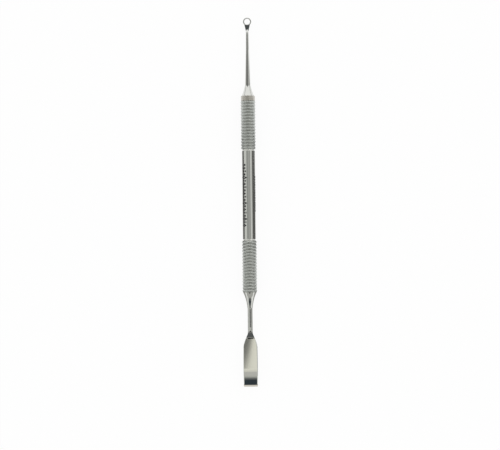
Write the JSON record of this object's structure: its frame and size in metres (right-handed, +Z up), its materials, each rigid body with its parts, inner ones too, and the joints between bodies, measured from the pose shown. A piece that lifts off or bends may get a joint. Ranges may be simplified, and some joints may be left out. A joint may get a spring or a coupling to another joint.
{
  "type": "cuticle pusher",
  "caption": "Double-ended hand tool with a bent spade pusher blade at one end, a small open ring curette at the other, and a round hollow handle with ring-turned grips.",
  "frame": {"origin": "the middle of the tool's length and width, on the plane that its grip rings lie on", "axes": "+Y along the tool from the spade blade to the ring curette, +X across the tool, +Z up from the plane it lies on, on the side that both working ends are bent towards"},
  "size_m": [0.0066, 0.165, 0.0065],
  "materials": {
    "handle_steel": "turned and polished",
    "tip_steel": "mirror polished",
    "braze_alloy": "as cast silver braze"
  },
  "bodies": {
    "root": {"handle_tube": "handle_steel", "pusher_ferrule": "handle_steel", "curette_ferrule": "handle_steel", "spade_pusher_tip": "tip_steel", "ring_curette_tip": "tip_steel", "pusher_tube_braze": "braze_alloy", "curette_tube_braze": "braze_alloy", "pusher_tang_braze": "braze_alloy", "curette_tang_braze": "braze_alloy"}
  },
  "joints": []
}
